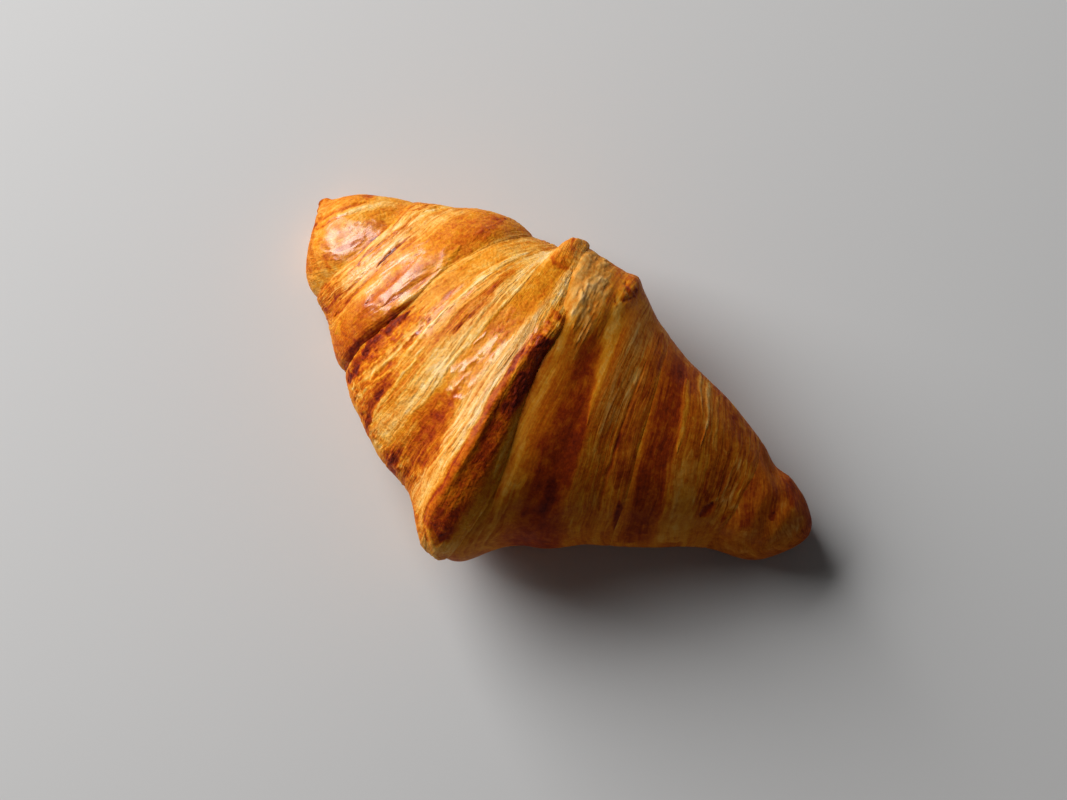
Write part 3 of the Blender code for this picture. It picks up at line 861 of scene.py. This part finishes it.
def crustNoises(places, turn, strata, plies):
    # the crust's noises over a wrap's grid, and the bent strata that its layers follow
    bent = strata - plies["slant"] * (turn - slantPivot)
    bent = bent + sum(amount * lumps(places, *sizes) for amount, *sizes in crustNoise["bend"])
    noises = {name: streaks(bent, turn, *sizes) for name, sizes in crustNoise["streaks"].items()}
    noises |= {name: lumps(places, *sizes) for name, sizes in crustNoise["lumps"].items()}
    for name, (skew, amount, bends, folds) in crustNoise["folds"].items():
        folded = bent + skew * turn + amount * lumps(places, *bends)
        noises[name] = 1 - 2 * np.abs(streaks(folded, turn, *folds))
    noises["threads"] = np.abs(noises["threads"])
    noises |= {name: smooth(*levels, noises[name]) for name, levels in crustNoise["shown"].items()}
    return noises, bent


def mixed(noises, zones, shares):
    # the noises times their shares, added up in each zone, and the zones' sums added up
    return sum(zones[zone] * sum(share * noises[name] for name, share in group.items())
               for zone, group in shares.items())


def buildWrap(spec):
    # places of a wrap's grid with its relief, and what its crust needs to know there
    places, wrap, turn, strata = wrapGrid(spec)
    normals = gridNormals(places)
    normals *= np.sign((normals * (places - places.mean(axis=1, keepdims=True))).sum())
    fields = paintWrap(wrap, turn, strata, places, spec)
    shares = ("calm", "rough", "wrinkle", "shine")
    calm, rough, wrinkle, shine = (np.clip(fields[key], 0, 1) for key in shares)
    lively, crisp = 1 - calm, spec["crisp"]
    noises, bent = crustNoises(places, turn, strata, spec["plies"])
    noises["ply"], noises["rim"], noises["shade"] = plyEdges(strata, turn, spec["plies"])
    noises["threads"] *= noises["threadPatches"] * lively
    noises["pale"] *= lively * crisp
    noises["blister"] *= 1 - np.clip(fields["dry"], 0, 1)
    lumpy = 1 - crustLimits["lumpyCalm"] * calm
    zones = {"always": 1, "layered": lively, "lumpy": lumpy, "rough": rough, "wrinkled": wrinkle}
    crispZones = {**zones, "crisp": crisp, "layered": crisp * lively, "lumpy": crisp * lumpy}
    relief = fields["rise"] + mixed(noises, crispZones, crustShares["rise"])
    places = places + normals * relief[..., None]
    places[..., 2] = np.maximum(places[..., 2], 0)
    noises |= {name: lumps(places, *sizes) for name, sizes in crustNoise["lateLumps"].items()}
    plain = spec["base"]["bake"]
    browning = fields["bake"] - plain + crustLimits["browner"] + mixed(noises, zones, crustShares["bake"])
    bake = plain + spec["vary"] * browning
    burnt = crustLimits["burnt"]
    held = burnt + (1 - burnt) * np.tanh((bake - burnt) / (1 - burnt))
    bake = np.clip(np.where(bake > burnt, held, bake), 0, 1)
    dry = np.clip(fields["dry"] + mixed(noises, zones, crustShares["dry"]), 0, 1)
    film = smooth(*crustNoise["thickFilm"], noises["film"])
    film = crustLimits["thinFilm"] + (1 - crustLimits["thinFilm"]) * film
    facesUp = smooth(*crustLimits["facesUp"], normals[..., 2])
    gloss = shine * film * (1 - crustLimits["dryDulls"] * dry) * facesUp
    ring = np.radians(turn)
    grain = np.stack([bent, ringRadius * np.cos(ring), ringRadius * np.sin(ring)], -1)
    return places, {"bake": bake, "dry": dry, "calm": calm, "gloss": np.clip(gloss, 0, 1),
                    "crisp": np.full_like(bake, crisp), "grain": grain}


# the crust's material


class Wire:
    # a socket in a graph of nodes: arithmetic on it adds Math nodes

    def __init__(self, graph, socket):
        self.graph = graph
        self.socket = socket

    def math(self, operation, *values):
        # a Math node on the values, in their order
        values = dict(enumerate(values))
        return self.graph.node("ShaderNodeMath", {"operation": operation}, values)["Value"]

    def __add__(self, other):
        return self.math("ADD", self, other)

    def __radd__(self, other):
        return self.math("ADD", other, self)

    def __sub__(self, other):
        return self.math("SUBTRACT", self, other)

    def __rsub__(self, other):
        return self.math("SUBTRACT", other, self)

    def __mul__(self, other):
        return self.math("MULTIPLY", self, other)

    def __rmul__(self, other):
        return self.math("MULTIPLY", other, self)


class Graph:
    # the nodes of a material

    def __init__(self, material):
        material.use_nodes = True
        self.tree = material.node_tree

    def plug(self, slot, value):
        # links a wire to an input, or sets the input's own value
        if isinstance(value, Wire):
            self.tree.links.new(value.socket, slot)
        else:
            slot.default_value = value

    def node(self, kind, settings, values):
        # any node: its settings first, then its sockets; gives its outputs by name
        node = self.tree.nodes.new(kind)
        for key, setting in settings.items():
            if key == "stops":
                self.setStops(node.color_ramp.elements, setting)
            else:
                setattr(node, key, setting)
        for key, value in values.items():
            self.plug(node.inputs[key], value)
        return {out.name: Wire(self, out) for out in node.outputs if out.enabled}

    def setStops(self, elements, stops):
        # gives a ramp its stops, each a place and a colour
        while len(elements) < len(stops):
            elements.new(0.5)
        for element, (place, colour) in zip(elements, stops):
            element.position = place
            element.color = (*colour, 1)


crustLook = {
    # colours from just baked to burnt, where there is egg wash and where the dough is bare
    "glazed": [(0.0, (0.90, 0.62, 0.27)), (0.2, (0.86, 0.45, 0.08)), (0.4, (0.77, 0.272, 0.012)),
               (0.6, (0.57, 0.120, 0.004)), (0.8, (0.34, 0.037, 0.004)), (1.0, (0.12, 0.010, 0.006))],
    "dry": [(0.0, (0.84, 0.53, 0.23)), (0.3, (0.77, 0.39, 0.115)), (0.55, (0.54, 0.155, 0.012)),
            (0.8, (0.27, 0.045, 0.004)), (1.0, (0.09, 0.015, 0.004))],
    # fibres and wisps: width and length in millimetres; speck and bubbles: size in millimetres and detail
    "fibres": (0.35, 5.0),
    "wisps": (1.0, 14.0),
    "speck": (1.6, 3.0),
    "bubbles": (0.8, 2.0),
    "browning": {"fibres": 0.36, "wisps": 0.44, "speck": 0.3, "bubbles": 0.18},
    "restless": 1.2,  # fibres and wisps where the crust is least calm
    "crispShare": 0.35,  # part of all four that only a crisp wrap has
    "glazedRoughness": 0.45,
    "dryRoughness": 0.75,
    "speckRoughness": 0.12,
    "fibreRelief": 1.1,
    "calmRelief": 0.6,  # how much of it a calm place loses
    "spotRelief": 0.8,
    "reliefDepth": 0.0003,
    "specular": 0.02,
    "coatRoughness": 0.25,
    "coatIor": 1.75,
    "subsurface": 0.08,
    "subsurfaceRadius": (1.0, 0.4, 0.12),
    "subsurfaceScale": 0.002,
}


def crustMaterial(look):
    # browned dough: ramps of glazed and of bare crust over how baked it is, mixed by how dry it is
    material = bpy.data.materials.new("crust")
    graph = Graph(material)
    shader = graph.tree.nodes["Principled BSDF"]

    def painted(name):
        # what the mesh holds under a name
        return graph.node("ShaderNodeAttribute", {"attribute_name": name}, {})

    def drawnOut(across, along):
        # noise on the grain, squeezed across it and drawn out along it
        scale = (1 / across, 1 / along, 1 / along)
        scaled = graph.node("ShaderNodeVectorMath", {"operation": "MULTIPLY"}, {0: grain, 1: scale})
        sockets = {"Vector": scaled["Vector"], "Scale": 1.0, "Detail": 2.0}
        return graph.node("ShaderNodeTexNoise", {}, sockets)["Fac"]

    def speckled(size, detail):
        # noise in space with bumps of the given size
        sockets = {"Vector": place, "Scale": 1 / (size * mm), "Detail": detail}
        return graph.node("ShaderNodeTexNoise", {}, sockets)["Fac"]

    def ramp(stops):
        # the stops' colour at the level of baking
        return graph.node("ShaderNodeValToRGB", {"stops": stops}, {"Fac": level})["Color"]

    layers = ("bake", "dry", "calm", "gloss", "crisp")
    bake, dry, calm, gloss, crisp = (painted(name)["Fac"] for name in layers)
    grain = painted("grain")["Vector"]
    place = graph.node("ShaderNodeTexCoord", {}, {})["Object"]
    fibres, wisps = drawnOut(*look["fibres"]), drawnOut(*look["wisps"])
    speck, bubbles = speckled(*look["speck"]), speckled(*look["bubbles"])
    shares = look["browning"]
    drawn = (fibres - 0.5) * shares["fibres"] + (wisps - 0.5) * shares["wisps"]
    spotted = (speck - 0.5) * shares["speck"] + (bubbles - 0.5) * shares["bubbles"]
    strength = 1 - look["crispShare"] + look["crispShare"] * crisp
    level = bake + (drawn * (look["restless"] - calm) + spotted) * strength
    ramps = {"Factor": dry, 6: ramp(look["glazed"]), 7: ramp(look["dry"])}
    colour = graph.node("ShaderNodeMix", {"data_type": "RGBA"}, ramps)["Result"]
    dulling = look["dryRoughness"] - look["glazedRoughness"]
    roughness = look["glazedRoughness"] + dulling * dry + (speck - 0.5) * look["speckRoughness"]
    relief = fibres * (look["fibreRelief"] - look["calmRelief"] * calm)
    relief = relief + (bubbles + speck) * look["spotRelief"]
    bump = {"Height": relief * crisp, "Distance": look["reliefDepth"], "Strength": 1.0}
    finish = {
        "Base Color": colour,
        "Roughness": roughness,
        "Coat Weight": gloss,
        "Normal": graph.node("ShaderNodeBump", {}, bump)["Normal"],
        "Coat Roughness": look["coatRoughness"],
        "Coat IOR": look["coatIor"],
        "Specular IOR Level": look["specular"],
        "Subsurface Weight": look["subsurface"],
        "Subsurface Radius": look["subsurfaceRadius"],
        "Subsurface Scale": look["subsurfaceScale"],
    }
    for name, value in finish.items():
        graph.plug(shader.inputs[name], value)
    print("crust material:", len(graph.tree.nodes), "nodes")
    return material


built = {}
for name, spec in wraps.items():
    built[name] = buildWrap(spec)
    print(name, "worked out,", built[name][0].shape[0], "rows of", grid["columns"])
every = np.concatenate([places.reshape(-1, 3) for places, fields in built.values()])
shift = (lowCorner + highCorner) / 2 / mm * (1, 1, 0) - roll["middle"]
span, room = every.max(0) - every.min(0), (highCorner - lowCorner) / mm
print("croissant spans", span.round(1), "mm, in a box of", room.round(1))

crust = crustMaterial(crustLook)
for name, (places, fields) in built.items():
    piece = closedMesh(name, places + shift, fields)
    piece.data.materials.append(crust)
    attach(piece, "root")
    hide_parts("croissant")
    print(name, len(piece.data.vertices), "vertices")


# floor, light and camera

floorLook = {"reach": 3, "below": 0.0002, "colour": (0.66, 0.655, 0.65, 1), "roughness": 0.8,
             "specular": 0.2}


def paleFloor(look):
    # a flat square just under the croissant
    reach = look["reach"]
    square = [(-reach, -reach), (reach, -reach), (reach, reach), (-reach, reach)]
    corners = [(x, y, -look["below"]) for x, y in square]
    material = bpy.data.materials.new("paleFloor")
    graph = Graph(material)
    shader = graph.tree.nodes["Principled BSDF"]
    graph.plug(shader.inputs["Base Color"], look["colour"])
    graph.plug(shader.inputs["Roughness"], look["roughness"])
    graph.plug(shader.inputs["Specular IOR Level"], look["specular"])
    obj = bpy.data.objects.new("floor", bpy.data.meshes.new("floor"))
    obj.data.from_pydata(corners, [], [(0, 1, 2, 3)])
    obj.data.materials.append(material)
    bpy.context.scene.collection.objects.link(obj)
    return obj


floor = paleFloor(floorLook)


def aimed(obj, place, target):
    # puts a light or a camera at a place, looking at the target
    obj.location = place
    obj.rotation_euler = (Vector(target) - Vector(place)).to_track_quat("-Z", "Y").to_euler()
    bpy.context.scene.collection.objects.link(obj)


# one wide soft light, low from the left, and a little light from all round
light = {"from": (-0.993, 0.118), "elevation": 30.2, "distance": 1.3, "size": 1.15, "power": 28.8,
         "target": (0, 0, 0.03), "room": (1.0, 1.0, 1.0, 1), "roomStrength": 0.045}
lamp = bpy.data.objects.new("window", bpy.data.lights.new("window", "AREA"))
lamp.data.size = light["size"]
lamp.data.energy = light["power"]
elevation = math.radians(light["elevation"])
reach, height = light["distance"] * math.cos(elevation), light["distance"] * math.sin(elevation)
aimed(lamp, (light["from"][0] * reach, light["from"][1] * reach, height), light["target"])

world = bpy.data.worlds.new("room")
bpy.context.scene.world = world
world.use_nodes = True
background = world.node_tree.nodes["Background"]
background.inputs["Color"].default_value = light["room"]
background.inputs["Strength"].default_value = light["roomStrength"]
print("floor, window light and room light ready")

view = {"azimuth": 33.1, "elevation": 80.5, "distance": 0.6877, "lens": 85.0,
        "target": (-0.0004, 0.0029, 0.025)}
camera = bpy.data.objects.new("camera", bpy.data.cameras.new("camera"))
camera.data.lens = view["lens"]
azimuth, elevation = math.radians(view["azimuth"]), math.radians(view["elevation"])
reach, height = math.cos(elevation), math.sin(elevation)
away = Vector((math.sin(azimuth) * reach, -math.cos(azimuth) * reach, height))
target = Vector(view["target"])
aimed(camera, target + away * view["distance"], target)
bpy.context.scene.camera = camera
bpy.context.scene.view_settings.view_transform = "Standard"
print("camera ready")
